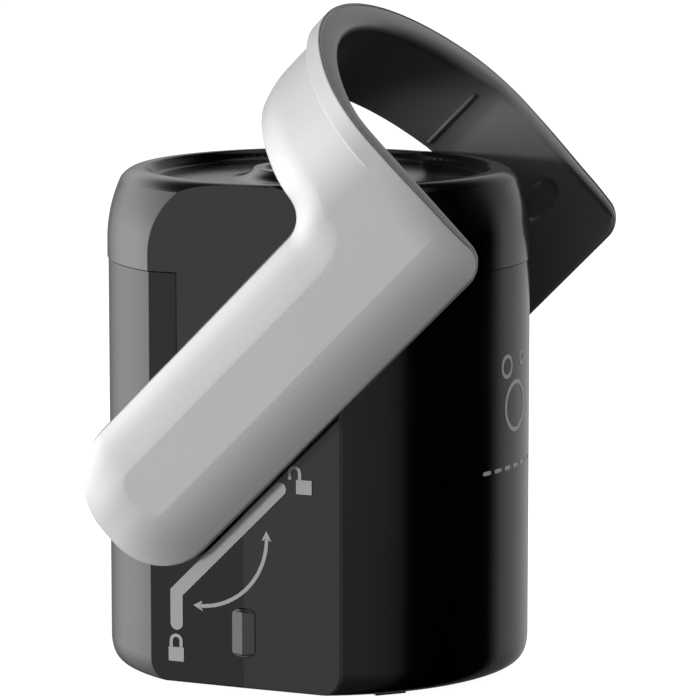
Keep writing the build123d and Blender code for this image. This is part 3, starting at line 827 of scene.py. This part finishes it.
def softbox(name, direction, width, height, power, distance=0.8):
    """A rectangular area light aimed at the object's middle."""
    light = bpy.data.lights.new(name, "AREA")
    light.shape = "RECTANGLE"
    light.size, light.size_y = width, height
    light.energy = power
    obj = bpy.data.objects.new(name, light)
    scene.collection.objects.link(obj)
    direction = Vector(direction).normalized()
    target = Vector((0, 0, 0.035))
    obj.location = target + direction * distance
    obj.rotation_mode = "QUATERNION"
    obj.rotation_quaternion = (-direction).to_track_quat("-Z", "Y")
    obj.visible_glossy = False


softbox("front_top", (0.15, -0.75, 0.9), 0.4, 0.4, 9.0)
softbox("overhead", (0.0, 0.15, 1.0), 0.7, 0.7, 1.5)
softbox("side_fill", (-0.77, 0.64, 0.04), 0.16, 0.16, 9.0)


# Brightness of the studio by azimuth in degrees from +X, at the horizon and higher up.
AROUND = [
    (0, 0.68), (8, 0.6), (20, 0.3), (42, 0.3), (56, 1.0), (75, 2.55), (86, 3.6), (94, 4.0), (108, 3.8),
    (122, 2.7), (136, 1.7), (150, 1.15), (165, 1.06), (185, 0.8), (200, 0.7), (225, 0.64), (235, 0.56),
    (243, 0.46), (248, 0.34), (251, 0.06), (254, 0.0), (310, 0.0), (316, 0.3), (322, 0.66), (345, 0.7),
]
HIGHER = [
    (0, 0.5), (15, 0.8), (30, 1.2), (50, 1.7), (65, 2.3), (80, 2.8), (100, 3.2), (120, 3.0), (140, 2.1),
    (160, 1.1), (185, 0.75), (200, 0.6), (230, 0.4), (260, 0.1), (290, 0.0), (310, 0.1), (325, 0.4),
]
# By height, from 0 straight down to 1 straight up: how much of HIGHER, how bright, and light from above.
MIX_BY_HEIGHT = [(0.0, 0.0), (0.52, 0.0), (0.66, 1.0), (1.0, 1.0)]
LEVEL_BY_HEIGHT = [
    (0.0, 0.3), (0.15, 0.32), (0.24, 0.38), (0.33, 0.6), (0.39, 0.95), (0.5, 1.0), (0.56, 0.9),
    (0.61, 0.84), (0.70, 0.78), (0.75, 0.55), (0.80, 0.13), (0.84, 0.03), (1.0, 0.01),
]
TOP_BY_HEIGHT = [(0.0, 0.0), (0.90, 0.0), (0.95, 0.6), (1.0, 0.6)]


def studio_world():
    """Soft light from all round: bright at the back left, fair at the right, dark in front."""
    peak, behind = 5.0, 0.8
    world = bpy.data.worlds.new("studio")
    scene.world = world
    world.use_nodes = True
    nodes, links = world.node_tree.nodes, world.node_tree.links
    background = nodes["Background"]

    def ramp(source, stops):
        node = nodes.new("ShaderNodeValToRGB")
        elements = node.color_ramp.elements
        while len(elements) > 1:
            elements.remove(elements[-1])
        elements[0].position, elements[0].color = stops[0][0], (*[stops[0][1]] * 3, 1)
        for position, value in stops[1:]:
            element = elements.new(position)
            element.color = (value, value, value, 1)
        links.new(source, node.inputs[0])
        return node.outputs[0]

    coord = nodes.new("ShaderNodeTexCoord")
    split = nodes.new("ShaderNodeSeparateXYZ")
    links.new(coord.outputs["Generated"], split.inputs[0])
    x, y, z = split.outputs
    azimuth = math_value(nodes, links, "ARCTAN2", y, x)
    turn = math_value(nodes, links, "MULTIPLY_ADD", azimuth, 1 / (2 * pi), 0.5)
    height = math_value(nodes, links, "MULTIPLY_ADD", z, 0.5, 0.5)

    def by_azimuth(table):
        stops = sorted(((a + 180) % 360 / 360, v / peak) for a, v in table)
        return ramp(turn, [(0.0, behind / peak)] + stops + [(1.0, behind / peak)])

    mix = nodes.new("ShaderNodeMix")
    mix.data_type = "FLOAT"
    links.new(ramp(height, MIX_BY_HEIGHT), mix.inputs["Factor"])
    links.new(by_azimuth(AROUND), mix.inputs["A"])
    links.new(by_azimuth(HIGHER), mix.inputs["B"])
    level = math_value(nodes, links, "MULTIPLY", mix.outputs["Result"], peak)
    sides = math_value(nodes, links, "MULTIPLY", level, ramp(height, LEVEL_BY_HEIGHT))
    strength = math_value(nodes, links, "ADD", sides, ramp(height, TOP_BY_HEIGHT))
    links.new(strength, background.inputs["Strength"])
    background.inputs["Color"].default_value = (1, 1, 1, 1)


studio_world()
scene.view_settings.view_transform = "Standard"
